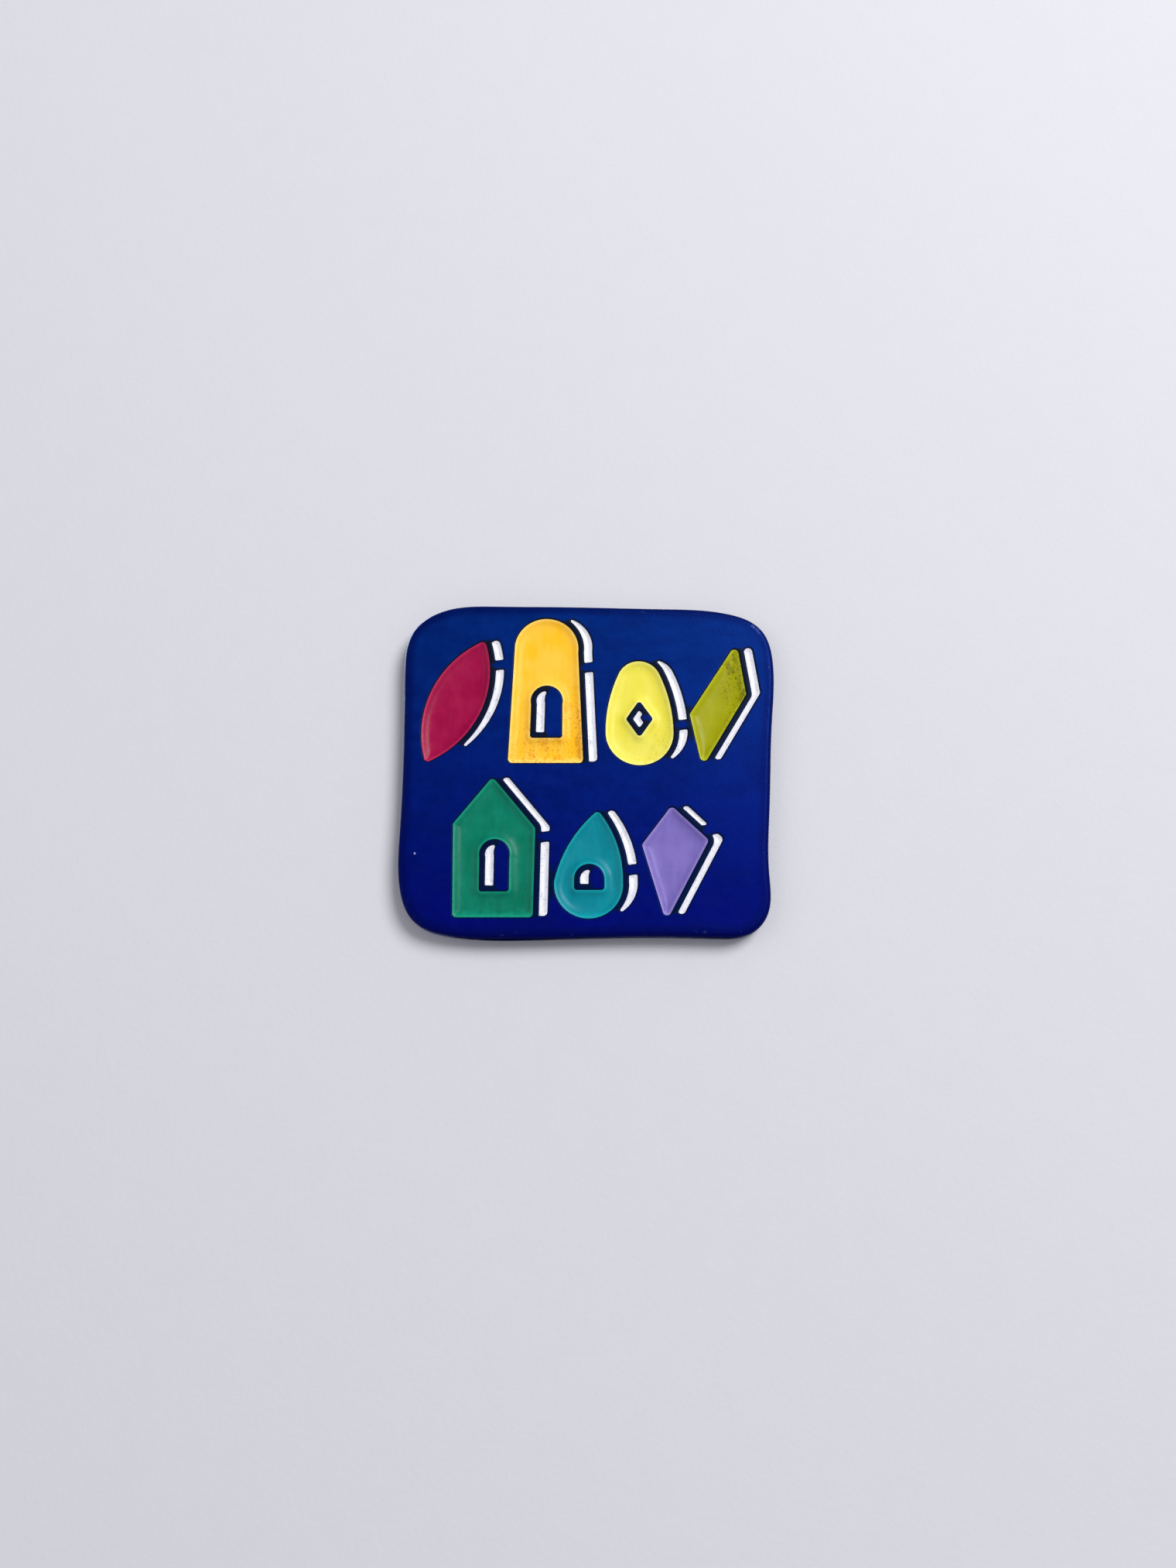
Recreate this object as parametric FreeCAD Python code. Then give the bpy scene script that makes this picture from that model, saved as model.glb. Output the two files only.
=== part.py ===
import FreeCAD, Part
import math
import os

# Enamel pin with two posts and two butterfly clutches. Millimetres.
# Facing the pin, X is to the right and Z is up. The face looks along -Y and the posts point along +Y.
# The origin is at the middle of the plate's back face.

# The cosine of 45 degrees, which places the middle of a quarter arc
DIAGONAL = math.sqrt(0.5)
# How far a cutting solid runs past the surface that it cuts
CUT_PAST = 1.0

# Plate
WIDTH = 32.0
HEIGHT = 29.2
THICKNESS = 1.8
FRONT = -THICKNESS
FRONT_ROUND = 0.45
BACK_ROUND = 0.2

# Enamel cells, and the white strips that stand to the right of each coloured shape
CELL_DEPTH = 0.55
ENAMEL_BELOW_FACE = 0.15
SHADOW_RIGHT = 1.2
SHADOW_UP = 0.12
WEB = 0.5
STRIP_END_ROUND = 0.12
BREAK_HEIGHT = 0.9
BREAK_RISE = 0.5
BREAK_INSIDE = 1.6
BREAK_OUTSIDE = 2.0
SMALLEST_CELL = 0.12
SHAPE_CORNER = 0.35
WINDOW_CORNER = 0.25
EGG_CROWN_R = 1.9

# Posts
POST_SPACING = 17.0
POST_Z = 2.0
POST_R = 0.55
POST_LENGTH = 8.0
POINT_LENGTH = 1.3
POINT_R = 0.08
NECK_R = 0.45
NECK_START = 2.6
NECK_LENGTH = 0.65
NECK_PITCH = 1.35
NECK_COUNT = 3
SHOULDER_R = 0.35
SEAT_R = 1.9
SEAT_DEPTH = 0.1
PAD_R = 0.95
PAD_TOP = 0.03
SOLDER_R = 1.5
SOLDER_WAIST = (0.85, 0.12)
SOLDER_TOP = 0.45

# Butterfly clutches. Their radii are from the post's axis, and their heights from the disc's front.
CLUTCH_START = 2.9
CLUTCH_TURN = {"left": 0.0, "right": 90.0}
SHEET = 0.3
DISC_R = 5.7
DISC_FLOOR = 0.45
DISC_ROUND = 0.3
FUNNEL_R = 1.6
HOLE_R = 0.75
LIP_R = 4.85
LIP_LOW = 0.9
LIP_TOP = 1.2
FLANGE_R = 5.25
FLANGE_LOW = 0.51
CAP_R = 2.6
CAP_HEIGHT = 6.0
CAP_ROUND = 1.45
WINDOW_WIDTH = 2.3
WINDOW_LOW = 2.0
WINDOW_HIGH = 4.0
WINDOW_ROUND = 0.57

# Jaw levers: a strip of sheet from the jaw, over the pivot, out through the cap's window to the wing
LEVER_SHEET = 0.32
JAW_TIP = (0.1, 1.3)
JAW_HEEL = (1.3, 1.5)
PIVOT = (1.9, 2.6)
ELBOW = (3.1, 3.0)
WING_TOP = (4.9, 5.55)
JAW_WIDTH = 1.7
WING_WIDTH = 4.6
WING_LOW = 3.35
WING_CORNER = 1.1
JAW_NOTCH_R = 0.58
KNUCKLE_R = 0.38
KNUCKLE_LENGTH = 2.0
PIVOT_PIN_R = 0.22
PIVOT_HOLE_R = 0.28
PIVOT_PIN_LENGTH = 3.1

# The rim's points, as shares of half the width and half the height, clockwise from the top left
RIM = [
    (-0.56, 0.998),
    (-0.10, 0.993),
    (0.41, 0.980),
    (0.76, 0.950),
    (0.94, 0.855),
    (0.998, 0.64),
    (0.978, 0.26),
    (0.950, -0.24),
    (0.935, -0.64),
    (0.925, -0.86),
    (0.845, -0.965),
    (0.68, -0.990),
    (0.25, -0.983),
    (-0.40, -0.998),
    (-0.72, -0.980),
    (-0.91, -0.900),
    (-0.98, -0.73),
    (-0.992, -0.38),
    (-0.988, 0.07),
    (-0.998, 0.56),
    (-0.955, 0.85),
    (-0.82, 0.96),
]

# The box round each coloured shape on the face: left, bottom, width and height
BOXES = {
    "crimson": (-14.1, 0.3, 5.2, 11.0),
    "amber": (-6.9, 0.3, 6.4, 13.0),
    "yellow": (1.4, 0.1, 5.8, 9.3),
    "olive": (8.6, -0.1, 4.9, 11.2),
    "green": (-11.4, -12.8, 6.9, 11.9),
    "teal": (-2.9, -12.9, 5.7, 9.1),
    "lavender": (4.4, -13.2, 5.6, 9.8),
}

# How high up its box a coloured shape's white strip is broken in two, for those that are
STRIP_BREAKS = {
    "crimson": 0.72,
    "amber": 0.60,
    "yellow": 0.30,
    "green": 0.50,
    "teal": 0.36,
    "lavender": 0.72,
}


def on_face(x, z):
    return FreeCAD.Vector(x, 0, z)


def in_box(colour, shares):
    """Points on the face, from shares of a coloured shape's box."""
    left, bottom, width, height = BOXES[colour]
    return [on_face(left + u * width, bottom + v * height) for u, v in shares]


def filled(edges):
    return Part.Face(Part.Wire([edge.toShape() for edge in edges]))


def polygon(points):
    return Part.Face(Part.makePolygon(points + [points[0]]))


def cut_out(face, window):
    return face.cut(window).Faces[0]


def softened(face, radius):
    """The face with its corners rounded, by shrinking it and growing it back."""
    return face.makeOffset2D(-radius).makeOffset2D(radius)


def arched(colour, outline):
    """A shape with a round top: its points run from low left over the crown to low right."""
    low_left, high_left, crown, high_right, low_right = in_box(colour, outline)
    edges = [
        Part.LineSegment(low_left, high_left),
        Part.Arc(high_left, crown, high_right),
        Part.LineSegment(high_right, low_right),
        Part.LineSegment(low_right, low_left),
    ]
    return filled(edges)


def leaf():
    corners = [(0.04, 0.0), (0.16, 0.64), (0.97, 1.0), (0.87, 0.36)]
    low, left, high, right = in_box("crimson", corners)
    return softened(filled([Part.Arc(low, left, high), Part.Arc(high, right, low)]), SHAPE_CORNER)


def tower():
    outline = arched("amber", [(0.0, 0.0), (0.07, 0.78), (0.5, 1.0), (0.93, 0.76), (1.0, 0.0)])
    opening = [(0.29, 0.17), (0.30, 0.40), (0.51, 0.53), (0.72, 0.40), (0.72, 0.17)]
    window = arched("amber", opening)
    return cut_out(softened(outline, SHAPE_CORNER), softened(window, WINDOW_CORNER))


def egg():
    """A half circle below, and above it two long arcs that run smoothly into a small crown arc."""
    left, bottom, width, height = BOXES["yellow"]
    girth_r = width / 2
    middle = on_face(left + girth_r, bottom + girth_r)
    rise = height - girth_r - EGG_CROWN_R
    side_r = (girth_r**2 + rise**2 - EGG_CROWN_R**2) / (2 * (girth_r - EGG_CROWN_R))
    sweep = math.atan2(rise, side_r - girth_r)

    def side_point(side, angle):
        out = side_r * math.cos(angle) - (side_r - girth_r)
        return middle + on_face(side * out, side_r * math.sin(angle))

    right_end, left_end = side_point(1, 0), side_point(-1, 0)
    right_top, left_top = side_point(1, sweep), side_point(-1, sweep)
    base, crown = in_box("yellow", [(0.5, 0.0), (0.5, 1.0)])
    edges = [
        Part.Arc(left_end, base, right_end),
        Part.Arc(right_end, side_point(1, sweep / 2), right_top),
        Part.Arc(right_top, crown, left_top),
        Part.Arc(left_top, side_point(-1, sweep / 2), left_end),
    ]
    diamond = [(0.50, 0.26), (0.70, 0.44), (0.50, 0.62), (0.30, 0.44)]
    window = polygon(in_box("yellow", diamond))
    return cut_out(filled(edges), softened(window, WINDOW_CORNER))


def lozenge():
    corners = [(0.20, 0.0), (1.0, 0.58), (0.86, 1.0), (0.0, 0.42)]
    return softened(polygon(in_box("olive", corners)), SHAPE_CORNER)


def house():
    corners = [(0.02, 0.0), (0.0, 0.66), (0.47, 1.0), (1.0, 0.63), (0.98, 0.0)]
    outline = polygon(in_box("green", corners))
    opening = [(0.33, 0.18), (0.33, 0.42), (0.51, 0.55), (0.69, 0.42), (0.69, 0.18)]
    window = arched("green", opening)
    return cut_out(softened(outline, SHAPE_CORNER), softened(window, WINDOW_CORNER))


def drop():
    tip, left, base, right = in_box("teal", [(0.64, 1.0), (0.0, 0.34), (0.5, 0.0), (1.0, 0.34)])
    left_flank, right_flank = in_box("teal", [(0.21, 0.68), (0.93, 0.66)])
    edges = [
        Part.Arc(left, base, right),
        Part.Arc(right, right_flank, tip),
        Part.Arc(tip, left_flank, left),
    ]
    opening = [(0.29, 0.26), (0.29, 0.37), (0.51, 0.50), (0.73, 0.37), (0.73, 0.26)]
    window = arched("teal", opening)
    return cut_out(softened(filled(edges), SHAPE_CORNER), softened(window, WINDOW_CORNER))


def kite():
    corners = [(0.34, 0.0), (0.0, 0.66), (0.45, 1.0), (1.0, 0.70)]
    return softened(polygon(in_box("lavender", corners)), SHAPE_CORNER)


def white_strips(colour, shape):
    """The parts of a copy of the shape, shifted right, that show beyond a web round the shape."""
    shifted = shape.copy()
    shifted.translate(FreeCAD.Vector(SHADOW_RIGHT, 0, SHADOW_UP))
    strips = shifted.cut(shape.makeOffset2D(WEB))
    if colour in STRIP_BREAKS:
        left, bottom, width, height = BOXES[colour]
        near = left + width - BREAK_INSIDE
        far = left + width + BREAK_OUTSIDE
        low = bottom + STRIP_BREAKS[colour] * height
        corners = [
            on_face(near, low),
            on_face(far, low + BREAK_RISE),
            on_face(far, low + BREAK_RISE + BREAK_HEIGHT),
            on_face(near, low + BREAK_HEIGHT),
        ]
        strips = strips.cut(polygon(corners))
    cells = []
    for strip in strips.Faces:
        for core in strip.makeOffset2D(-STRIP_END_ROUND).Faces:
            cell = core.makeOffset2D(STRIP_END_ROUND)
            if cell.Area > SMALLEST_CELL:
                cells.extend(cell.Faces)
    return cells


def prism(face, near, far):
    """The solid over a face of the front, from one depth to the other."""
    base = face.copy()
    base.translate(FreeCAD.Vector(0, near, 0))
    return base.extrude(FreeCAD.Vector(0, far - near, 0))


def colour_shapes():
    return {
        "crimson": leaf(),
        "amber": tower(),
        "yellow": egg(),
        "olive": lozenge(),
        "green": house(),
        "teal": drop(),
        "lavender": kite(),
    }


def cell_outlines():
    """The flat faces of each enamel node's cells: a coloured shape, or the white strips beside it."""
    outlines = {}
    for colour, shape in colour_shapes().items():
        outlines[colour + "_enamel"] = [shape]
        outlines["white_enamel_by_" + colour] = white_strips(colour, shape)
    return outlines


def enamel(outlines):
    """Fills that reach from the floor of their cells to just below the plate's face."""
    fills = [prism(outline, FRONT + CELL_DEPTH, FRONT + ENAMEL_BELOW_FACE) for outline in outlines]
    return fills[0] if len(fills) == 1 else Part.makeCompound(fills)


def post_axes():
    return {"left": -POST_SPACING / 2, "right": POST_SPACING / 2}


def base_plate(outlines):
    """The struck plate: a round front rim, a cell for each fill, and a round seat for each post."""
    curve = Part.BSplineCurve()
    rim = [on_face(u * WIDTH / 2, v * HEIGHT / 2) for u, v in RIM]
    curve.interpolate(rim, PeriodicFlag=True)
    plate = prism(filled([curve]), FRONT, 0)
    front_rim = [e for e in plate.Edges if e.BoundBox.YMax < FRONT / 2]
    plate = plate.makeFillet(FRONT_ROUND, front_rim)
    back_rim = [e for e in plate.Edges if e.BoundBox.YMin > -BACK_ROUND / 2]
    plate = plate.makeFillet(BACK_ROUND, back_rim)
    hollows = [prism(outline, FRONT + CELL_DEPTH, FRONT - CUT_PAST) for outline in outlines]
    for x in post_axes().values():
        floor = FreeCAD.Vector(x, -SEAT_DEPTH, POST_Z)
        hollows.append(Part.makeCylinder(SEAT_R, CUT_PAST, floor, FreeCAD.Vector(0, 1, 0)))
    return plate.cut(hollows).Solids[0]


def turned(profile, x, start=0.0):
    """A solid turned about a post's axis. Profile points are (radius, height), and a third value
    of "arc" marks the middle point of an arc between the points before and after it."""
    points = [FreeCAD.Vector(x + p[0], start + p[1], POST_Z) for p in profile]
    edges = []
    i = 0
    while i < len(points) - 1:
        if len(profile[i + 1]) == 3:
            edges.append(Part.Arc(points[i], points[i + 1], points[i + 2]))
            i += 2
        else:
            edges.append(Part.LineSegment(points[i], points[i + 1]))
            i += 1
    edges.append(Part.LineSegment(points[-1], points[0]))
    return filled(edges).revolve(FreeCAD.Vector(x, 0, POST_Z), FreeCAD.Vector(0, 1, 0), 360)


def post(x):
    """A foot pad, a shank with rolled grooves for the clutch's jaws, and a point."""
    profile = [(0, -SEAT_DEPTH), (PAD_R, -SEAT_DEPTH), (PAD_R, PAD_TOP), (POST_R, PAD_TOP)]
    for i in range(NECK_COUNT):
        low = NECK_START + i * NECK_PITCH
        profile += [(POST_R, low), (NECK_R, low + NECK_LENGTH / 2, "arc"), (POST_R, low + NECK_LENGTH)]
    shoulder = POST_LENGTH - POINT_LENGTH
    middle = (SHOULDER_R, shoulder + POINT_LENGTH / 2, "arc")
    profile += [(POST_R, shoulder), middle, (POINT_R, POST_LENGTH), (0, POST_LENGTH)]
    return turned(profile, x)


def post_solder(x):
    """A hollow-sided fillet round the foot of a post."""
    profile = [
        (POST_R, PAD_TOP),
        (PAD_R, PAD_TOP),
        (PAD_R, -SEAT_DEPTH),
        (SOLDER_R, -SEAT_DEPTH),
        (SOLDER_R, -SEAT_DEPTH / 2),
        (*SOLDER_WAIST, "arc"),
        (POST_R, SOLDER_TOP),
    ]
    return turned(profile, x)


def clutch_disc(x):
    """A shallow pan with a funnel for the post and a rim curled in over the cap's flange."""
    lip_round = LIP_TOP - LIP_LOW
    profile = [
        (HOLE_R, DISC_FLOOR),
        (FUNNEL_R, 0),
        (DISC_R - DISC_ROUND, 0),
        (DISC_R - DISC_ROUND * (1 - DIAGONAL), DISC_ROUND * (1 - DIAGONAL), "arc"),
        (DISC_R, DISC_ROUND),
        (DISC_R, LIP_LOW),
        (DISC_R - lip_round * (1 - DIAGONAL), LIP_LOW + lip_round * DIAGONAL, "arc"),
        (DISC_R - lip_round, LIP_TOP),
        (LIP_R, LIP_TOP),
        (LIP_R, LIP_LOW),
        (DISC_R - SHEET, LIP_LOW),
        (DISC_R - SHEET, DISC_FLOOR),
    ]
    return turned(profile, x, CLUTCH_START)


def clutch_cap(x, turn):
    """A domed cap on a flange, with windows for the wings and holes for the ends of the pivot pins."""
    crown_r = CAP_R - CAP_ROUND
    spring_line = CAP_HEIGHT - CAP_ROUND
    inner = CAP_ROUND - SHEET
    profile = [
        (CAP_R - SHEET, FLANGE_LOW),
        (FLANGE_R, FLANGE_LOW),
        (FLANGE_R, FLANGE_LOW + SHEET),
        (CAP_R, FLANGE_LOW + SHEET),
        (CAP_R, spring_line),
        (crown_r + CAP_ROUND * DIAGONAL, spring_line + CAP_ROUND * DIAGONAL, "arc"),
        (crown_r, CAP_HEIGHT),
        (0, CAP_HEIGHT),
        (0, CAP_HEIGHT - SHEET),
        (crown_r, CAP_HEIGHT - SHEET),
        (crown_r + inner * DIAGONAL, spring_line + inner * DIAGONAL, "arc"),
        (CAP_R - SHEET, spring_line),
    ]
    cap = turned(profile, x, CLUTCH_START)
    window_height = WINDOW_HIGH - WINDOW_LOW
    corner = FreeCAD.Vector(x - CAP_R, CLUTCH_START + WINDOW_LOW, POST_Z - WINDOW_WIDTH / 2)
    window = Part.makeBox(2 * CAP_R, window_height, WINDOW_WIDTH, corner)
    window = window.makeFillet(WINDOW_ROUND, [e for e in window.Edges if e.BoundBox.XLength > CAP_R])
    cap = cap.cut(window)
    for side in (-1, 1):
        start = FreeCAD.Vector(x + side * PIVOT[0], CLUTCH_START + PIVOT[1], POST_Z - CAP_R)
        cap = cap.cut(Part.makeCylinder(PIVOT_HOLE_R, 2 * CAP_R, start, FreeCAD.Vector(0, 0, 1)))
    cap.rotate(FreeCAD.Vector(x, 0, POST_Z), FreeCAD.Vector(0, 1, 0), turn)
    return cap


def clutch_wing(x, turn):
    """A jaw lever: strip bent from jaw to wing, cut to width, with a knuckle and a pin on its pivot."""
    bends = [JAW_TIP, JAW_HEEL, PIVOT, ELBOW, WING_TOP]
    path = Part.makePolygon([FreeCAD.Vector(out, up, 0) for out, up in bends])
    strip = path.makeOffset2D(LEVER_SHEET / 2, 0, True, True)
    strip = strip.extrude(FreeCAD.Vector(0, 0, WING_WIDTH))
    strip.translate(FreeCAD.Vector(0, 0, -WING_WIDTH / 2))
    reach = WING_TOP[0] + CUT_PAST
    top = WING_TOP[1] + LEVER_SHEET
    shank = Part.makeBox(reach, top, JAW_WIDTH, FreeCAD.Vector(0, 0, -JAW_WIDTH / 2))
    blade_corner = FreeCAD.Vector(0, WING_LOW, -WING_WIDTH / 2)
    blade = Part.makeBox(reach, top - WING_LOW, WING_WIDTH, blade_corner)
    blade = blade.makeFillet(WING_CORNER, [e for e in blade.Edges if e.BoundBox.XLength > reach / 2])
    lever = strip.common(shank.fuse(blade))
    pivot = FreeCAD.Vector(PIVOT[0], PIVOT[1], 0)
    along = FreeCAD.Vector(0, 0, 1)
    for radius, length in ((KNUCKLE_R, KNUCKLE_LENGTH), (PIVOT_PIN_R, PIVOT_PIN_LENGTH)):
        lever = lever.fuse(Part.makeCylinder(radius, length, pivot - along * (length / 2), along))
    post_way = Part.makeCylinder(JAW_NOTCH_R, PIVOT[1], FreeCAD.Vector(), FreeCAD.Vector(0, 1, 0))
    lever = lever.cut(post_way)
    lever = lever.removeSplitter()
    lever.translate(FreeCAD.Vector(x, CLUTCH_START, POST_Z))
    lever.rotate(FreeCAD.Vector(x, 0, POST_Z), FreeCAD.Vector(0, 1, 0), turn)
    return lever


def main():
    outlines = cell_outlines()
    nodes = {name: enamel(faces) for name, faces in outlines.items()}
    nodes["base_plate"] = base_plate([face for faces in outlines.values() for face in faces])
    for side, x in post_axes().items():
        turn = CLUTCH_TURN[side]
        nodes["post_" + side] = post(x)
        nodes["post_solder_" + side] = post_solder(x)
        nodes["clutch_disc_" + side] = clutch_disc(x)
        nodes["clutch_cap_" + side] = clutch_cap(x, turn)
        nodes["clutch_wing_" + side + "_a"] = clutch_wing(x, turn)
        nodes["clutch_wing_" + side + "_b"] = clutch_wing(x, turn + 180)
    os.makedirs("parts", exist_ok=True)
    for name, shape in nodes.items():
        shape.exportStep("parts/" + name + ".step")


main()
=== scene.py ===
import math

import bpy
import numpy as np
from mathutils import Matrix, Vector
from mathutils.geometry import delaunay_2d_cdt
from mathutils.kdtree import KDTree


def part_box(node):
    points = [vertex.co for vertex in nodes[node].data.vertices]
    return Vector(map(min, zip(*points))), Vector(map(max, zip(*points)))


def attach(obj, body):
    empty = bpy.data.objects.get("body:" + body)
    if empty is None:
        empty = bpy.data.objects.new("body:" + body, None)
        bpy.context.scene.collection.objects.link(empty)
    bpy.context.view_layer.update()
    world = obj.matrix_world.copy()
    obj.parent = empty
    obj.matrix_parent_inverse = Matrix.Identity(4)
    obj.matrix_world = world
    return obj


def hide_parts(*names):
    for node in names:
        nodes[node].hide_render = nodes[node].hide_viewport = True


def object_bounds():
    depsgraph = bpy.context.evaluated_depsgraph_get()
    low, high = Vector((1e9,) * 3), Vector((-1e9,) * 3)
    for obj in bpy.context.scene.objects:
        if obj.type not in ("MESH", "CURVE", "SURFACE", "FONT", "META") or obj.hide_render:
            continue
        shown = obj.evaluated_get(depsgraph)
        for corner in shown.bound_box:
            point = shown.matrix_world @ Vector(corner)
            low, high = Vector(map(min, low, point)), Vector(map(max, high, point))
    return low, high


# A struck and dyed enamel pin with butterfly clutches. Metres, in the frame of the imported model:
# facing the pin, X is to the right and Z is up; the face looks along -Y and the posts along +Y.

MM = 0.001

# Plate
FRONT_ROUND = 0.45 * MM
BACK_ROUND = 0.2 * MM
LIP_ROUND = 0.10 * MM
CELL_DEPTH = 0.55 * MM
SEAT_DEPTH = 0.1 * MM

# The size and height of the face's gentle unevenness
PLATE_SWELL = (4.5 * MM, 0.012 * MM)

# Enamel: its depths below the plate's face, how far it creeps from a wall and how steeply it falls
# there, its ripple's size and height, and the gap left under it
ENAMEL_AT_WALL = 0.11 * MM
ENAMEL_IN_MIDDLE = 0.42 * MM
MENISCUS_REACH = 0.42 * MM
MENISCUS_FALL = 1.7
ENAMEL_RIPPLE = (1.6 * MM, 0.02 * MM)
UNDER_ENAMEL = 0.01 * MM

# Mesh detail
RIM_POINTS = 640
RIM_PASSES = 30
SEAT_POINTS = 96
ROUND_STEPS = 8
LOOP_STEP = 0.12 * MM
WALL_SAMPLE = 0.015 * MM
LIP_RINGS = [0.012 * MM, 0.04 * MM, 0.10 * MM, 0.18 * MM]
ENAMEL_RINGS = [0.05 * MM, 0.11 * MM, 0.19 * MM, 0.29 * MM, 0.42 * MM, 0.58 * MM]
GRID_STEP = 0.36 * MM
GRID_GAP = 0.12 * MM
ROWS_PER_STEP = math.sqrt(0.75)
PLACE_KEYS = 1e7
SAME_PLACE = 0.001 * MM
SAME_CELL = 0.01 * MM
FACES_THAT_WAY = 0.9
SHARP_FROM = math.radians(40)

# Crossed waves of unevenness: how fast each turns along X and along Z, and its start
WAVES = [(2.3, 1.1, 0.0), (-1.7, 2.9, 1.3), (3.7, -0.6, 4.0)]

# Settings of delaunay_2d_cdt: which triangles it keeps, and what is one point, in millimetres
WHOLE_HULL = 0
CDT_NEAR = 1e-6

# What a vertex far from every wall, rim or web holds as its distance from them, in millimetres
FAR = 9.0

# For each fill: its linear colours in its middle and in a band along the wall, where it is thin
# and, for the coloured fills, lighter as a painted highlight on the lit meniscus, also painted as
# light along the foot of the cell; the colour of its dust, how dusty it is, and the (x, z) way that
# the dust gathers across its cell
COLOURS = {
    "crimson": ((0.293, 0.000, 0.046), (0.46, 0.018, 0.088), (0.15, 0.0, 0.02), 0.45, (0.6, -0.6)),
    "amber": ((0.980, 0.515, 0.014), (1.00, 0.680, 0.150), (0.70, 0.24, 0.004), 0.95, (0.3, -0.9)),
    "yellow": ((0.805, 0.715, 0.068), (0.90, 0.850, 0.230), (0.56, 0.46, 0.03), 0.65, (0.5, -0.5)),
    "olive": ((0.325, 0.325, 0.001), (0.44, 0.460, 0.015), (0.14, 0.13, 0.001), 1.10, (1.0, 0.2)),
    "green": ((0.0, 0.165, 0.098), (0.006, 0.29, 0.185), (0.0, 0.085, 0.045), 0.45, (0.0, -1.0)),
    "teal": ((0.000, 0.212, 0.272), (0.006, 0.335, 0.390), (0.0, 0.105, 0.135), 0.40, (0.3, 0.6)),
    "lavender": ((0.176, 0.13, 0.435), (0.29, 0.225, 0.6), (0.12, 0.075, 0.3), 0.35, (0.3, -0.6)),
}
WHITE = ((0.87, 0.87, 0.94), (0.78, 0.78, 0.86), (0.36, 0.35, 0.37), 1.0, (0.0, 0.0))

# The dye's colour at the bottom and top of the face, painted lighter at the top as a reflection of
# the bright space above; the painted shade along the cells' walls and in the webs between two
# cells, navy below and blacker above; and a chip in the dye, by its place from the plate's lower
# left corner
DYE_PAINTED_LIGHTER_UP = ((0.0002, 0.0018, 0.150), (0.0002, 0.020, 0.180))
PAINTED_SHADE_BY_CELLS = ((0.0006, 0.0060, 0.040), (0.0065, 0.0080, 0.013))
# Painted shade: the face darkens towards its rim
SHADE_PAINTED_AT_RIM = (0.0002, 0.0015, 0.070)
DYE_IN_CLOUDS = (0.0004, 0.004, 0.085)
DYE_WORN = (0.10, 0.14, 0.30)
DYE_SHEEN = (0.25, 0.5, 1.0, 1.0)
CHIP_FROM_CORNER = (1.49 * MM, 7.07 * MM)
CHIP_R = 0.13 * MM
CHIP_COLOUR = (0.42, 0.48, 0.70)

# Each metal's colour where it is bright, and where it is tarnished
BRASS = ((0.83, 0.62, 0.30), (0.16, 0.085, 0.03))
SPRING = ((0.86, 0.68, 0.37), (0.20, 0.12, 0.05))
STEEL = ((0.66, 0.65, 0.63), (0.12, 0.11, 0.10))
TIN = ((0.55, 0.55, 0.56), (0.13, 0.12, 0.12))

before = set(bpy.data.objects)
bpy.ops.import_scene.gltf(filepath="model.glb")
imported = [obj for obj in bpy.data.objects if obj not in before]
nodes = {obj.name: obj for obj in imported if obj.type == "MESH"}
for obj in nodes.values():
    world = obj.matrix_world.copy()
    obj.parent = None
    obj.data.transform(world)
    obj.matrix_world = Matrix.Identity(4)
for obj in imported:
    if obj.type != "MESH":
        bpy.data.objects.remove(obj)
cad_box = [list(corner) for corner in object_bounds()]
PLATE_LOW, PLATE_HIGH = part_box("base_plate")
FACE_Y = PLATE_LOW.y
BACK_Y = PLATE_HIGH.y


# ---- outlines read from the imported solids

def plane_loops(node, y, facing):
    """Closed outlines, as arrays of (x, z), of the node's flat face at height y."""
    mesh = nodes[node].data
    mesh.calc_loop_triangles()
    co = np.array([v.co for v in mesh.vertices])
    place, index = {}, []
    for p in co:
        key = tuple(round(value * PLACE_KEYS) for value in p)
        index.append(place.setdefault(key, len(place)))
    points = {index[i]: (co[i][0], co[i][2]) for i in range(len(co))}
    edges = set()
    for tri in mesh.loop_triangles:
        flat = all(abs(co[v][1] - y) < SAME_PLACE for v in tri.vertices)
        if flat and tri.normal.y * facing > FACES_THAT_WAY:
            toggle_edges(edges, [index[v] for v in tri.vertices])
    loops = []
    after = dict(edges)
    while after:
        start, here = next(iter(after.items()))
        loop = [points[start]]
        del after[start]
        while here != start:
            loop.append(points[here])
            here = after.pop(here)
        loop = np.array(loop)
        apart = np.linalg.norm(loop - np.roll(loop, 1, axis=0), axis=1)
        loops.append(loop[apart > SAME_PLACE])
    return loops


def toggle_edges(edges, corners):
    """Adds a triangle's edges to a set, where an edge met from both sides drops out."""
    for a, b in zip(corners, corners[1:] + corners[:1]):
        if (b, a) in edges:
            edges.remove((b, a))
        else:
            edges.add((a, b))


def doubled_area(loop):
    """Twice the signed area of an outline: above 0 if it runs anticlockwise."""
    x, z = loop[:, 0], loop[:, 1]
    return np.sum(x * np.roll(z, -1) - np.roll(x, -1) * z)


def largest_first(loops):
    return sorted(loops, key=lambda loop: -abs(doubled_area(loop)))


def with_short_steps(loop, step=LOOP_STEP):
    """The same outline with extra points, so that no two are further apart than step."""
    out = []
    for a, b in zip(loop, np.roll(loop, -1, axis=0)):
        count = max(1, math.ceil(np.linalg.norm(b - a) / step))
        out += [a + (b - a) * i / count for i in range(count)]
    return np.array(out)


def evenly_smooth(loop, count, passes):
    """A closed outline through the loop's points, evenly spaced and smoothed."""
    closed = np.vstack([loop, loop[:1]])
    lengths = np.linalg.norm(np.diff(closed, axis=0), axis=1)
    along = np.concatenate([[0], np.cumsum(lengths)])
    wanted = np.linspace(0, along[-1], count, endpoint=False)
    out = np.stack([np.interp(wanted, along, closed[:, k]) for k in (0, 1)], axis=1)
    for _ in range(passes):
        out = 0.5 * out + 0.25 * (np.roll(out, 1, axis=0) + np.roll(out, -1, axis=0))
    return out


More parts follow.
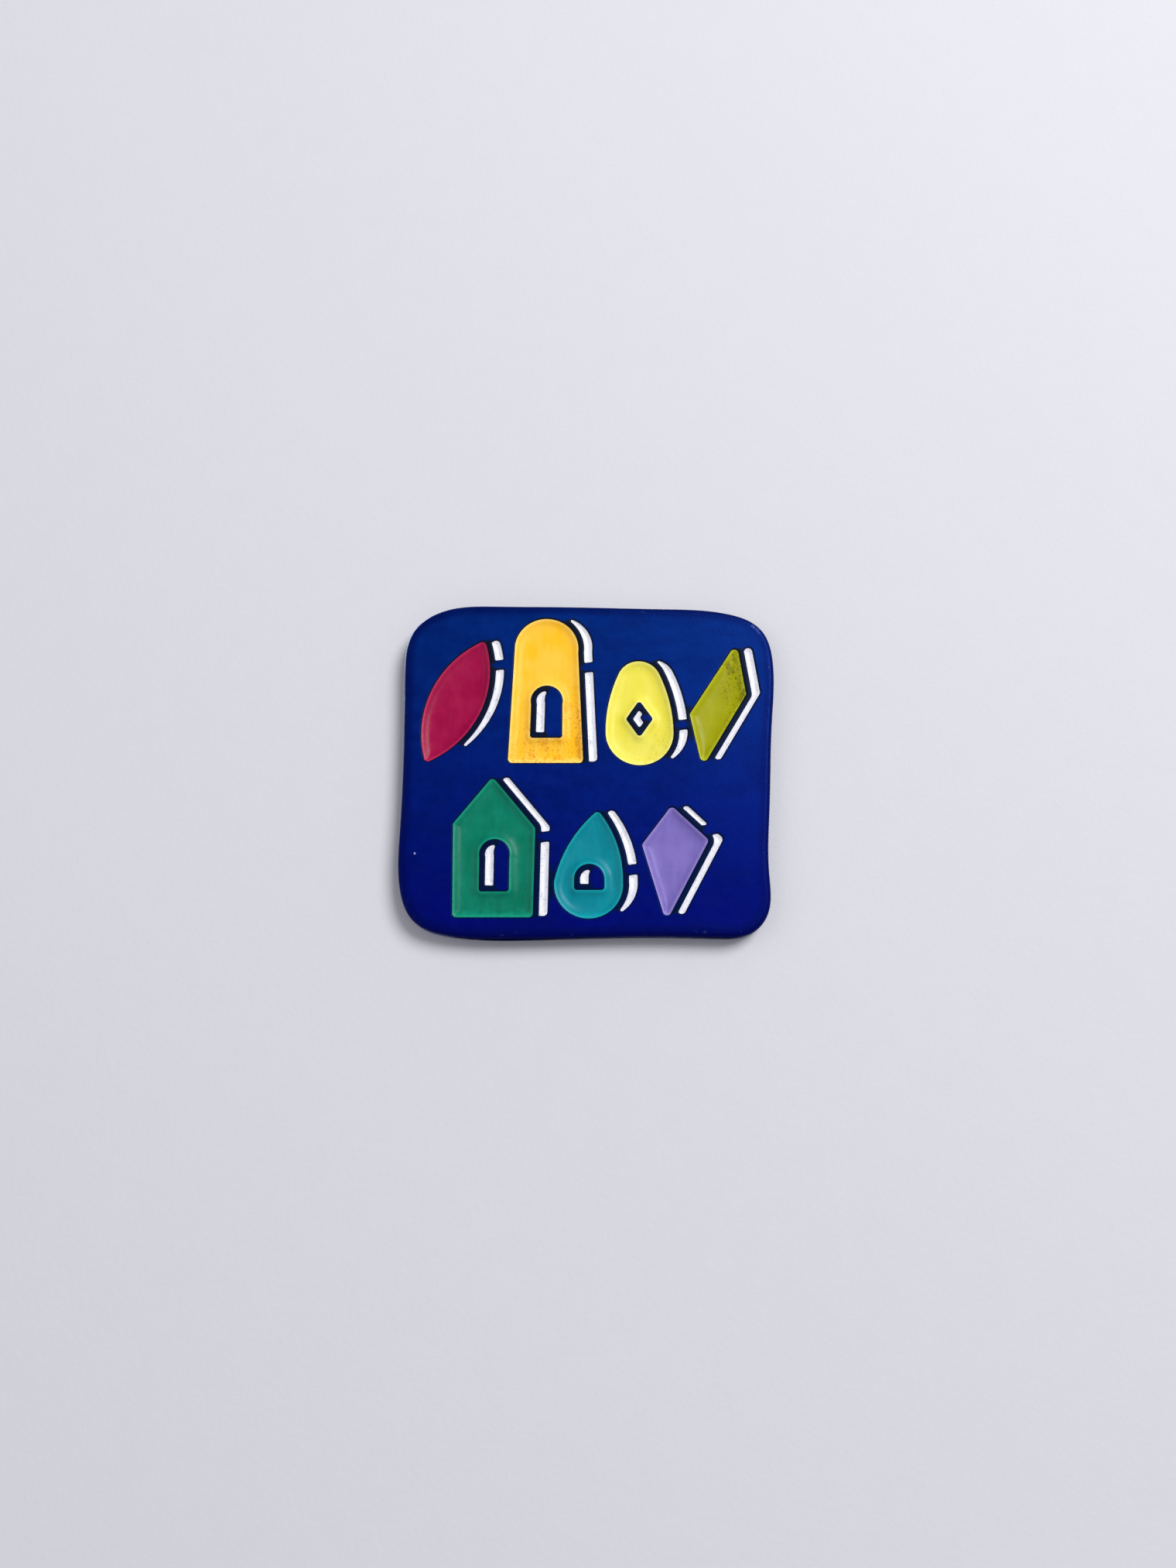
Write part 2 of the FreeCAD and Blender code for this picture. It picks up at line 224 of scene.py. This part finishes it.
def outward(loop):
    """Unit normals of an outline, pointing out of it."""
    along = np.roll(loop, -1, axis=0) - np.roll(loop, 1, axis=0)
    normal = np.stack([along[:, 1], -along[:, 0]], axis=1)
    normal /= np.linalg.norm(normal, axis=1)[:, None]
    return normal * np.sign(doubled_area(loop))


# ---- flat regions filled with triangles

def inside(points, loops):
    """Whether each point is inside the loops, by the even-odd rule."""
    crossings = np.zeros(len(points), int)
    x, z = points[:, 0], points[:, 1]
    for loop in loops:
        for (ax, az), (bx, bz) in zip(loop, np.roll(loop, -1, axis=0)):
            if az != bz:
                spans = (az > z) != (bz > z)
                crossings += spans & (x < ax + (z - az) * (bx - ax) / (bz - az))
    return crossings % 2 == 1


def distance_from(loops):
    """A function that gives points' distances from the nearest of the loops."""
    samples = np.vstack([with_short_steps(loop, WALL_SAMPLE) for loop in loops])
    tree = KDTree(len(samples))
    for i, (x, z) in enumerate(samples):
        tree.insert((x, z, 0), i)
    tree.balance()
    return lambda points: np.array([tree.find((x, z, 0))[2] for x, z in points])


def edges_of(triangle):
    """The three edges of a triangle, without a direction."""
    a, b, c = triangle
    return [frozenset(pair) for pair in ((a, b), (b, c), (c, a))]


def within_walls(triangles, walls):
    """The triangles inside the outlines whose edges are the walls. They are reached from the open
    edges inwards, and crossing a wall goes in or out, so that slivers beside it are sorted too."""
    holders = {}
    for number, triangle in enumerate(triangles):
        for edge in edges_of(triangle):
            holders.setdefault(edge, []).append(number)
    to_visit = [(held[0], edge in walls) for edge, held in holders.items() if len(held) == 1]
    is_in = {}
    while to_visit:
        number, state = to_visit.pop()
        if number not in is_in:
            is_in[number] = state
            for edge in edges_of(triangles[number]):
                to_visit += [(other, state != (edge in walls)) for other in holders[edge]]
    return [triangle for number, triangle in enumerate(triangles) if is_in[number]]


def triangles_between(points, loops):
    """A triangle mesh of points whose first ones are the loops, kept where it is inside the loops.
    Returns its points, its triangles, and the new numbers of the loops' points."""
    edges, start = [], 0
    for loop in loops:
        size = len(loop)
        edges += [(start + i, start + (i + 1) % size) for i in range(size)]
        start += size
    made = delaunay_2d_cdt([Vector(p / MM) for p in points], edges, [], WHOLE_HULL, CDT_NEAR)
    spots, joined, triangles, given_points, given_edges, _ = made
    walls = {frozenset(edge) for edge, given in zip(joined, given_edges) if given}
    kept = np.array(within_walls(triangles, walls))
    used, kept = np.unique(kept, return_inverse=True)
    numbers = {}
    for new, old in enumerate(used.tolist()):
        for given in given_points[old]:
            numbers[given] = new
    places = np.array([tuple(spots[old]) for old in used]) * MM
    return places, kept.reshape(-1, 3), [numbers[i] for i in range(start)]


def sheet_between(loops, walls, rings):
    """A flat sheet inside the loops, with rings of points along the walls and a grid between them.
    A ring's points are left out where another wall is nearer.
    Returns its points, triangles, the numbers of the loops' points, and each one's distance."""
    distance = distance_from(walls)
    candidates = []
    for wall in walls:
        normal = outward(wall)
        for ring in rings:
            for side in (-1, 1):
                near = wall + side * ring * normal
                candidates.append(near[distance(near) > 0.9 * ring])
    low, high = np.min(np.vstack(loops), axis=0), np.max(np.vstack(loops), axis=0)
    for i, z in enumerate(np.arange(low[1], high[1], GRID_STEP * ROWS_PER_STEP)):
        xs = np.arange(low[0] + GRID_STEP / 2 * (i % 2), high[0], GRID_STEP)
        row = np.stack([xs, np.full(len(xs), z)], axis=1)
        candidates.append(row[distance(row) > 0.8 * rings[-1] + GRID_GAP])
    free = np.vstack(candidates)
    free = free[inside(free, loops)]
    points, triangles, numbers = triangles_between(np.vstack(list(loops) + [free]), loops)
    return points, triangles, numbers, distance(points)


def ripple(points, size, height):
    """A gentle unevenness: a few crossed waves of about the given size."""
    x, z = points[:, 0] / size, points[:, 1] / size
    return height * sum(np.sin(a * x + b * z + start) for a, b, start in WAVES) / len(WAVES)


# ---- closed meshes

class Shell:
    """Vertices and faces of one mesh, with named values per vertex that its material reads."""

    def __init__(self, *names):
        self.places, self.faces = [], []
        self.values = {name: [] for name in names}

    def add(self, points, y, **values):
        """Adds vertices at (x, y, z) and returns their numbers."""
        start = len(self.places)
        levels = np.broadcast_to(y, len(points))
        self.places += [(x, level, z) for (x, z), level in zip(points, levels)]
        for name, stored in self.values.items():
            stored += list(np.broadcast_to(values.get(name, 0.0), len(points)))
        return list(range(start, start + len(points)))

    def cover(self, numbers, triangles, facing_front):
        """Adds a sheet's triangles, whose corners look up their vertices in numbers."""
        for triangle in triangles.tolist():
            face = tuple(numbers[corner] for corner in triangle)
            self.faces.append(face if facing_front else face[::-1])

    def wall(self, near, far, edges, facing_front=True):
        """A wall from a sheet's open edges, with the sheet on their left, to other points."""
        for a, b in edges:
            face = (near[b], near[a], far[a], far[b])
            self.faces.append(face if facing_front else face[::-1])

    def piece(self, name, material, body, replaced):
        """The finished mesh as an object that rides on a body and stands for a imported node."""
        mesh = bpy.data.meshes.new(name)
        mesh.from_pydata(self.places, [], self.faces)
        for key, stored in self.values.items():
            attribute = mesh.attributes.new(key, "FLOAT", "POINT")
            attribute.data.foreach_set("value", np.array(stored, np.float32))
        mesh.shade_smooth()
        mesh.set_sharp_from_angle(angle=SHARP_FROM)
        mesh.materials.append(material)
        made = bpy.data.objects.new(name, mesh)
        bpy.context.scene.collection.objects.link(made)
        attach(made, body)
        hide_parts(replaced)
        return made


def open_edges(triangles):
    """The edges of a sheet that only one triangle has, in an order that is the same each run."""
    edges = set()
    for triangle in triangles.tolist():
        toggle_edges(edges, triangle)
    return sorted(edges)


def floor_under(shell, loops, vertices, facing_front):
    """The flat region inside the loops, on the vertices that are already there for their points."""
    _, triangles, numbers = triangles_between(np.vstack(loops), loops)
    vertex = {new: vertices[old] for old, new in enumerate(numbers)}
    shell.cover(vertex, triangles, facing_front)


# ---- enamel

def enamel_piece(node, name, material):
    """A fill with a dished surface that creeps up the walls of its cell."""
    loops = [with_short_steps(loop) for loop in plane_loops(node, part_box(node)[0].y, -1)]
    points, triangles, numbers, distance = sheet_between(loops, loops, ENAMEL_RINGS)
    creep = np.exp(-(distance / MENISCUS_REACH) ** MENISCUS_FALL)
    depth = ENAMEL_IN_MIDDLE + (ENAMEL_AT_WALL - ENAMEL_IN_MIDDLE) * creep
    depth = depth + ripple(points, *ENAMEL_RIPPLE) * (1 - creep)
    shell = Shell("to_wall")
    top = shell.add(points, FACE_Y + depth, to_wall=distance / MM)
    shell.cover(top, triangles, True)
    bottom = shell.add(np.vstack(loops), FACE_Y + CELL_DEPTH - UNDER_ENAMEL)
    below = {top[new]: bottom[old] for old, new in enumerate(numbers)}
    edges = [(top[a], top[b]) for a, b in open_edges(triangles)]
    shell.wall({v: v for v in top}, below, edges)
    floor_under(shell, loops, bottom, False)
    return shell.piece(name, material, "pin", node)


# ---- plate

def cell_lip(distance):
    """How far the face drops beside a cell's wall, where its edge is rounded."""
    short = np.clip(LIP_ROUND - distance, 0, LIP_ROUND)
    return LIP_ROUND - np.sqrt(np.maximum(LIP_ROUND**2 - short**2, 0))


def is_white(cell, white_outlines):
    """Whether a cell of the plate is one that a white fill stands in."""
    return any(np.abs(white - cell[0]).max(axis=1).min() < SAME_CELL for white in white_outlines)


def rim_profile():
    """The plate's rounded side from face to back: how far it is outside the rim, and its y."""
    profile = []
    for i in range(1, ROUND_STEPS + 1):
        turn = math.pi / 2 * i / ROUND_STEPS
        profile.append((FRONT_ROUND * math.sin(turn), FACE_Y + FRONT_ROUND * (1 - math.cos(turn))))
    for i in range(ROUND_STEPS + 1):
        turn = math.pi / 2 * i / ROUND_STEPS
        inset = BACK_ROUND * (1 - math.cos(turn))
        profile.append((FRONT_ROUND - inset, BACK_Y - BACK_ROUND * (1 - math.sin(turn))))
    return profile


def plate_back(shell, back_rim, ring, rim_edges):
    """The plate's back, joined to the last ring of its side, with a round seat per post."""
    seats = largest_first(plane_loops("base_plate", BACK_Y, 1))[1:]
    seats = [evenly_smooth(seat, SEAT_POINTS, 0) for seat in seats]
    loops = [back_rim] + seats
    points, triangles, numbers, _ = sheet_between(loops, seats, LIP_RINGS[2:])
    from_rim = distance_from([back_rim])(points)
    back = shell.add(points, BACK_Y, to_wall=FAR, to_rim=from_rim / MM, web=FAR)
    shell.cover(back, triangles, False)
    on_rim, on_seats = numbers[:len(back_rim)], numbers[len(back_rim):]
    shell.wall(ring, [back[number] for number in on_rim], rim_edges)
    floor = shell.add(np.vstack(seats), BACK_Y - SEAT_DEPTH, to_wall=FAR, to_rim=FAR, web=FAR)
    below = {back[new]: floor[old] for old, new in enumerate(on_seats)}
    seat_edges = [(back[a], back[b]) for a, b in open_edges(triangles) if back[a] in below]
    shell.wall({v: v for v in back}, below, seat_edges, False)
    floor_under(shell, seats, floor, False)


def plate_piece(material, white_outlines):
    """The struck plate: face with cells and islands, rounded side, and back."""
    outer, *cells = largest_first(plane_loops("base_plate", FACE_Y, -1))
    rim = evenly_smooth(outer, RIM_POINTS, RIM_PASSES)
    cells = [with_short_steps(cell) for cell in cells]
    points, triangles, numbers, distance = sheet_between([rim] + cells, cells, LIP_RINGS)
    from_rim = distance_from([rim])(points)
    white, coloured = [], []
    for cell in cells:
        (white if is_white(cell, white_outlines) else coloured).append(cell)
    web = distance_from(white)(points) + distance_from(coloured)(points)
    shell = Shell("to_wall", "to_rim", "web")
    swell = ripple(points, *PLATE_SWELL) * np.clip(from_rim / MM, 0, 1)
    level = FACE_Y + cell_lip(distance) + np.maximum(swell, 0)
    front = shell.add(points, level, to_wall=distance / MM, to_rim=from_rim / MM, web=web / MM)
    shell.cover(front, triangles, True)

    rim_numbers = numbers[:len(rim)]
    on_rim = {number: i for i, number in enumerate(rim_numbers)}
    rim_edges, cell_edges = [], []
    for a, b in open_edges(triangles):
        if a in on_rim and b in on_rim:
            rim_edges.append((on_rim[a], on_rim[b]))
        else:
            cell_edges.append((front[a], front[b]))

    floor = shell.add(np.vstack(cells), FACE_Y + CELL_DEPTH, to_rim=FAR)
    below = {front[new]: floor[old] for old, new in enumerate(numbers[len(rim):])}
    shell.wall({v: v for v in front}, below, cell_edges)
    floor_under(shell, cells, floor, True)

    normal = outward(rim)
    profile = rim_profile()
    ring = [front[number] for number in rim_numbers]
    for out, y in profile[:-1]:
        next_ring = shell.add(rim + out * normal, y, to_wall=FAR, web=FAR)
        shell.wall(ring, next_ring, rim_edges)
        ring = next_ring

    plate_back(shell, rim + profile[-1][0] * normal, ring, rim_edges)
    return shell.piece("struck_plate", material, "pin", "base_plate")


# ---- materials

class Surface:
    """A procedural material. Sizes are in millimetres."""

    def __init__(self, name, **settings):
        self.material = bpy.data.materials.new(name)
        self.material.use_nodes = True
        self.tree = self.material.node_tree
        self.shader = self.tree.nodes["Principled BSDF"]
        self.where = self.node("TexCoord").outputs["Object"]
        self.set(**settings)

    def node(self, kind, inputs=(), **settings):
        made = self.tree.nodes.new("ShaderNode" + kind)
        for key, value in settings.items():
            setattr(made, key, value)
        for key, value in dict(inputs).items():
            self.join(value, made.inputs[key])
        return made

    def join(self, value, socket):
        if isinstance(value, bpy.types.NodeSocket):
            self.tree.links.new(value, socket)
        else:
            socket.default_value = value

    def set(self, **settings):
        for key, value in settings.items():
            self.join(value, self.shader.inputs[key.replace("_", " ")])

    def value(self, name):
        return self.node("Attribute", attribute_name=name).outputs["Fac"]

    def noise(self, size, detail=3.0, roughness=0.55, where=None):
        """Values round 0.5 that wander over about the given size."""
        inputs = {"Scale": 1 / (size * MM), "Detail": detail, "Roughness": roughness}
        return self.node("TexNoise", {"Vector": where or self.where, **inputs}).outputs["Fac"]

    def distance(self, a, b):
        return self.node("VectorMath", {0: a, 1: b}, operation="DISTANCE").outputs["Value"]

    def stretched(self, x, y, z):
        return self.node("Mapping", {"Vector": self.where, "Scale": (x, y, z)}).outputs["Vector"]

    def span(self, value, low, high, start=0.0, end=1.0):
        """A value between start and end, as the given value goes smoothly from low to high."""
        ends = {"From Min": low, "From Max": high, "To Min": start, "To Max": end}
        made = self.node("MapRange", {"Value": value, **ends}, interpolation_type="SMOOTHSTEP")
        return made.outputs["Result"]

    def sum(self, a, b, operation="ADD"):
        return self.node("Math", {0: a, 1: b}, operation=operation).outputs[0]

    def times(self, a, b):
        return self.sum(a, b, "MULTIPLY")

    def mix(self, factor, a, b):
        made = self.node("Mix", data_type="RGBA")
        for socket, value in ((0, factor), (6, a), (7, b)):
            if isinstance(value, tuple):
                value = (*value, 1.0)
            self.join(value, made.inputs[socket])
        return made.outputs[2]

    def bump(self, height, depth, normal=None):
        inputs = {"Height": height, "Distance": depth * MM}
        if normal:
            inputs["Normal"] = normal
        return self.node("Bump", inputs).outputs["Normal"]

    def soft_edges(self, radius):
        return self.node("Bevel", {"Radius": radius * MM}, samples=6).outputs["Normal"]

    def hollows(self, reach):
        """Near 1 in the open and lower in corners and hollows."""
        return self.node("AmbientOcclusion", {"Distance": reach * MM}, samples=8).outputs["AO"]


def times_colour(colour, factor):
    return tuple(min(1.0, channel * factor) for channel in colour)


def enamel_material(name, body, thin_and_lit, dust, dustiness, way, low=None, high=None):
    """Soft enamel: cloudy, of another shade where it thins at the wall, for the coloured fills
    partly a painted highlight on the meniscus and painted lighter at the cell's foot, with specks
    of dust.
    """
    made = Surface(name + "_enamel")
    cloud = made.noise(2.4, detail=3)
    strokes = made.noise(0.8, detail=4, where=made.stretched(1.5, 1.0, 0.35))
    patchy = made.sum(made.times(cloud, 0.6), made.times(strokes, 0.4))
    colour = made.mix(made.span(patchy, 0.38, 0.62, 0.0, 0.28), body, thin_and_lit)
    ragged = made.sum(made.value("to_wall"), made.times(made.noise(0.45), 0.22))
    # Band along the wall in the thin colour: the enamel thins there, and on the coloured fills the
    # lighter band is also a painted highlight on the meniscus
    colour = made.mix(made.span(ragged, 0.16, 0.40, 0.80, 0.0), colour, thin_and_lit)
    gathered = 0.5
    if low:
        place = made.node("SeparateXYZ", {"Vector": made.where}).outputs
        # Painted light: a lighter band of the thin colour along the foot of the cell, as if its
        # meniscus were lit from above
        foot = made.sum(place["Z"], made.times(made.noise(0.6, detail=4), 0.9 * MM))
        painted_light_at_foot = made.span(foot, low.z + 0.5 * MM, low.z + 1.1 * MM, 0.75, 0.0)
        colour = made.mix(painted_light_at_foot, colour, thin_and_lit)
        across = made.span(place["X"], low.x, high.x, -way[0], way[0])
        upward = made.span(place["Z"], low.z, high.z, -way[1], way[1])
        gathered = made.span(made.sum(across, upward), -0.4, 1.0)
    specks = made.span(made.noise(0.20, detail=6, roughness=0.75), 0.50, 0.66)
    smears = made.span(made.noise(0.9, detail=4, where=made.stretched(1.6, 1.0, 0.7)), 0.46, 0.66)
    spotted = made.sum(specks, made.times(smears, 0.45))
    amount = made.times(made.times(spotted, gathered), dustiness)
    colour = made.mix(made.span(amount, 0.0, 1.0), colour, dust)
    made.set(Base_Color=colour)
    made.set(Roughness=made.span(made.noise(0.8), 0.3, 0.7, 0.30, 0.42))
    made.set(Specular_IOR_Level=0.11, Coat_Weight=0.035, Coat_Roughness=0.14)
    surface = made.sum(made.noise(0.5, detail=2), made.times(made.noise(0.06, detail=2), 0.15))
    made.set(Normal=made.bump(surface, 0.012))
    return made.material


def dyed_plate_material():
    """Navy dye over struck metal, worn in spots at the rim, with painted light and shade: lighter
    towards the top, nearly black along the cells and in the webs between them, and darker at the
    rim.
    """
    made = Surface("dyed_plate")
    place = made.node("SeparateXYZ", {"Vector": made.where}).outputs
    up = made.span(place["Z"], -15 * MM, 15 * MM)
    # Painted reflection: the face's colour goes lighter towards its top
    colour = made.mix(up, *DYE_PAINTED_LIGHTER_UP)
    streaks = made.noise(1.1, detail=5, where=made.stretched(0.3, 1.0, 1.0))
    cloud = made.sum(made.noise(5.0, detail=4), streaks)
    colour = made.mix(made.span(cloud, 0.75, 1.30, 0.0, 0.42), colour, DYE_IN_CLOUDS)
    # Painted shade at the rim
    colour = made.mix(made.span(made.value("to_rim"), 0.0, 0.7, 0.6, 0.0), colour, SHADE_PAINTED_AT_RIM)
    ragged = made.times(made.noise(0.5), 0.10)
    # Painted shade: nearly black along each cell's wall and in the webs between coloured and white
    # cells
    painted_shade_at_walls = made.span(made.sum(made.value("to_wall"), ragged), 0.08, 0.26, 0.9, 0.0)
    painted_shade_in_webs = made.span(made.sum(made.value("web"), ragged), 0.62, 0.95, 0.97, 0.0)
    colour = made.mix(made.sum(painted_shade_at_walls, painted_shade_in_webs, "MAXIMUM"), colour, made.mix(up, *PAINTED_SHADE_BY_CELLS))
    chip = (PLATE_LOW.x + CHIP_FROM_CORNER[0], FACE_Y, PLATE_LOW.z + CHIP_FROM_CORNER[1])
    away = made.sum(made.distance(made.where, chip), made.times(made.noise(0.12), 0.10 * MM))
    colour = made.mix(made.span(away, 0.7 * CHIP_R, 1.3 * CHIP_R, 0.9, 0.0), colour, CHIP_COLOUR)
    at_edge = made.span(made.value("to_rim"), 0.02, 0.12, 1.0, 0.0)
    worn = made.times(at_edge, made.span(made.noise(1.3, detail=5, roughness=0.7), 0.60, 0.72))
    colour = made.mix(made.times(worn, 0.35), colour, DYE_WORN)
    made.set(Base_Color=colour, Metallic=0.30, Specular_IOR_Level=0.10)
    made.set(Specular_Tint=DYE_SHEEN)
    made.set(Roughness=made.span(made.noise(0.7, detail=4), 0.3, 0.7, 0.34, 0.48))
    grain = made.sum(made.noise(0.16, detail=3), made.times(made.noise(1.2, detail=2), 0.9))
    on_back = made.span(place["Y"], BACK_Y - 0.2 * MM, BACK_Y - 0.1 * MM)
    dimples = made.span(made.noise(0.30, detail=1), 0.42, 0.62)
    stipple = made.times(dimples, made.times(on_back, 2.2))
    made.set(Normal=made.bump(made.sum(grain, stipple), 0.010))
    return made.material


def metal_material(name, bright, dark, roughness, brushed=(1, 1, 1), edge=0.05, pitting=0.2):
    """Plated metal: cloudy, with fine brush marks, soft edges, and tarnish in hollows and spots."""
    made = Surface(name)
    cloud = made.noise(1.6, detail=4)
    colour = made.mix(made.span(cloud, 0.3, 0.7), times_colour(bright, 0.88), bright)
    open_share = made.hollows(0.9)
    colour = made.mix(made.span(open_share, 0.25, 0.85, 0.85, 0.0), colour, dark)
    spots = made.span(made.noise(0.35, detail=5, roughness=0.7), 0.62, 0.72)
    colour = made.mix(made.times(spots, pitting), colour, dark)
    made.set(Base_Color=colour, Metallic=1.0)
    marks = made.noise(0.12, detail=3, where=made.stretched(*brushed))
    rough = made.span(marks, 0.3, 0.7, roughness - 0.06, roughness + 0.08)
    made.set(Roughness=made.sum(rough, made.times(spots, 0.15)))
    surface = made.sum(marks, made.times(cloud, 0.5))
    made.set(Normal=made.bump(surface, 0.006, made.soft_edges(edge)))
    return made.material


# ---- the pin

white_outlines = []
for colour in COLOURS:
    node = "white_enamel_by_" + colour
    white_outlines += plane_loops(node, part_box(node)[0].y, -1)
plate_piece(dyed_plate_material(), white_outlines)
white = enamel_material("white", *WHITE)
for colour, look in COLOURS.items():
    fill = enamel_material(colour, *look, *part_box(colour + "_enamel"))
    enamel_piece(colour + "_enamel", colour + "_fill", fill)
    enamel_piece("white_enamel_by_" + colour, "white_fill_by_" + colour, white)

# A node's metal is the first one here whose key its name starts with
metals = {
    "post_solder": metal_material("solder", *TIN, 0.42, edge=0.02, pitting=0.5),
    "post": metal_material("post_steel", *STEEL, 0.24, brushed=(0.3, 2.0, 0.3), edge=0.03),
    "clutch_disc": metal_material("clutch_brass", *BRASS, 0.27, brushed=(0.6, 2.0, 0.6)),
    "clutch_cap": metal_material("cap_brass", *BRASS, 0.24, brushed=(0.5, 2.5, 0.5)),
    "clutch_wing": metal_material("lever_steel", *SPRING, 0.22, brushed=(2.0, 0.4, 2.0)),
}
for key, thing in nodes.items():
    kind = next((k for k in metals if key.startswith(k)), None)
    if kind:
        thing.data.materials.clear()
        thing.data.materials.append(metals[kind])


# ---- stage, lights and camera

CAMERA = Vector((-0.1, -98.14, -25.23)) * MM
TILT = math.radians(13.8)
LENS = 27.04
CLIP_START = 5 * MM
SHEET_SIZE = 4.0
SHEET_BEHIND = 0.1 * MM
FLOOR_SHADE = (0.60, 0.60, 0.63)
FLOOR_FADE = (0.15, 0.75)
BACKDROP_SHADE = (0.66, 0.66, 0.70)

# The world's colour, its strength where it is seen and where it lights, and its strength in
# reflections, from those that look forwards to those that look backwards
WORLD_COLOUR = (0.90, 0.91, 0.96, 1.0)
WORLD_SEEN = 0.66
WORLD_LIGHT = 0.42
WORLD_REFLECTED = {"From_Min": -0.35, "From_Max": 0.25, "To_Min": 0.10, "To_Max": 0.55}


def stage_sheet(name, corners, material):
    """A sheet of the surroundings, which neither shades the pin nor throws soft light on it."""
    mesh = bpy.data.meshes.new(name)
    mesh.from_pydata(corners, [], [(0, 1, 2, 3)])
    mesh.materials.append(material)
    sheet = bpy.data.objects.new(name, mesh)
    bpy.context.scene.collection.objects.link(sheet)
    sheet.visible_shadow = False
    sheet.visible_diffuse = False
    return sheet


def pale_paper(name, shade, shown):
    """Matt pale paper, which is there only where the node output shown is 1."""
    made = Surface(name, Roughness=0.9, Specular_IOR_Level=0.1)
    made.set(Base_Color=made.mix(made.noise(3.0, detail=5), times_colour(shade, 0.97), shade))
    made.set(Normal=made.bump(made.noise(0.5, detail=4), 0.02))
    clear = made.node("BsdfTransparent").outputs["BSDF"]
    mixed = made.node("MixShader", {0: shown(made), 1: clear, 2: made.shader.outputs["BSDF"]})
    output = made.tree.nodes["Material Output"]
    made.join(mixed.outputs["Shader"], output.inputs["Surface"])
    return made.material


def from_above(made):
    """1 on the upper side near the pin, fading out to leave the plain surroundings."""
    behind = made.node("NewGeometry").outputs["Backfacing"]
    away = made.node("VectorMath", {0: made.where}, operation="LENGTH").outputs["Value"]
    return made.times(made.sum(1.0, behind, "SUBTRACT"), made.span(away, *FLOOR_FADE, 1.0, 0.0))


def from_the_main_camera(made):
    """1 for a ray from the main camera. Other views see past the sheet to the pin's back."""
    geometry, path = made.node("NewGeometry").outputs, made.node("LightPath").outputs
    step_back = {0: geometry["Incoming"], "Scale": path["Ray Length"]}
    back = made.node("VectorMath", step_back, operation="SCALE").outputs["Vector"]
    origin = made.node("VectorMath", {0: geometry["Position"], 1: back}, operation="ADD")
    apart = made.distance(origin.outputs["Vector"], CAMERA)
    return made.sum(apart, 2 * CLIP_START, "LESS_THAN")


half = SHEET_SIZE / 2
square = [(-half, -half), (half, -half), (half, half), (-half, half)]
floor_z = cad_box[0][2]
floor_paper = pale_paper("floor_paper", FLOOR_SHADE, from_above)
stage_sheet("floor", [(x, y, floor_z) for x, y in square], floor_paper)
wall_y = BACK_Y + SHEET_BEHIND
wall_paper = pale_paper("backdrop_paper", BACKDROP_SHADE, from_the_main_camera)
backdrop = stage_sheet("backdrop", [(x, wall_y, z) for x, z in square], wall_paper)
backdrop.visible_glossy = False
backdrop.visible_transmission = False


def soft_light(name, place, size, power):
    """A round soft light that looks at the pin."""
    light = bpy.data.lights.new(name, "AREA")
    light.shape = "DISK"
    light.size = size
    light.energy = power
    made = bpy.data.objects.new(name, light)
    made.location = place
    made.rotation_euler = (-Vector(place)).to_track_quat("-Z", "Y").to_euler()
    bpy.context.scene.collection.objects.link(made)


soft_light("key", (0.25, -0.40, 0.22), size=0.28, power=2.45)
soft_light("fill", (-0.30, -0.30, 0.05), size=0.30, power=0.20)
soft_light("behind", (-0.25, 0.35, 0.28), size=0.30, power=1.6)


def studio_world():
    """Even pale light all round, which the face reflects less of than the metal behind does."""
    world = bpy.data.worlds.new("studio")
    world.use_nodes = True
    bpy.context.scene.world = world
    tree = world.node_tree

    def node(kind, **inputs):
        made = tree.nodes.new("ShaderNode" + kind)
        for key, value in inputs.items():
            if isinstance(value, bpy.types.NodeSocket):
                tree.links.new(value, made.inputs[key.replace("_", " ")])
            else:
                made.inputs[key.replace("_", " ")].default_value = value
        return made.outputs

    toward = node("SeparateXYZ", Vector=node("TexCoord")["Generated"])
    reflected = node("MapRange", Value=toward["Y"], **WORLD_REFLECTED)
    path = node("LightPath")
    seen = node("Mix", Factor=path["Is Camera Ray"], A=WORLD_LIGHT, B=WORLD_SEEN)
    strength = node("Mix", Factor=path["Is Glossy Ray"], A=seen["Result"], B=reflected["Result"])
    background = tree.nodes["Background"]
    background.inputs["Color"].default_value = WORLD_COLOUR
    tree.links.new(strength["Result"], background.inputs["Strength"])


studio_world()

camera_data = bpy.data.cameras.new("camera")
camera_data.lens = LENS
camera_data.clip_start = CLIP_START
camera_data.clip_end = 10.0
camera = bpy.data.objects.new("camera", camera_data)
camera.location = CAMERA
looking = Vector((0, math.cos(TILT), math.sin(TILT)))
camera.rotation_euler = looking.to_track_quat("-Z", "Y").to_euler()
bpy.context.scene.collection.objects.link(camera)
bpy.context.scene.camera = camera
bpy.context.scene.view_settings.view_transform = "Standard"
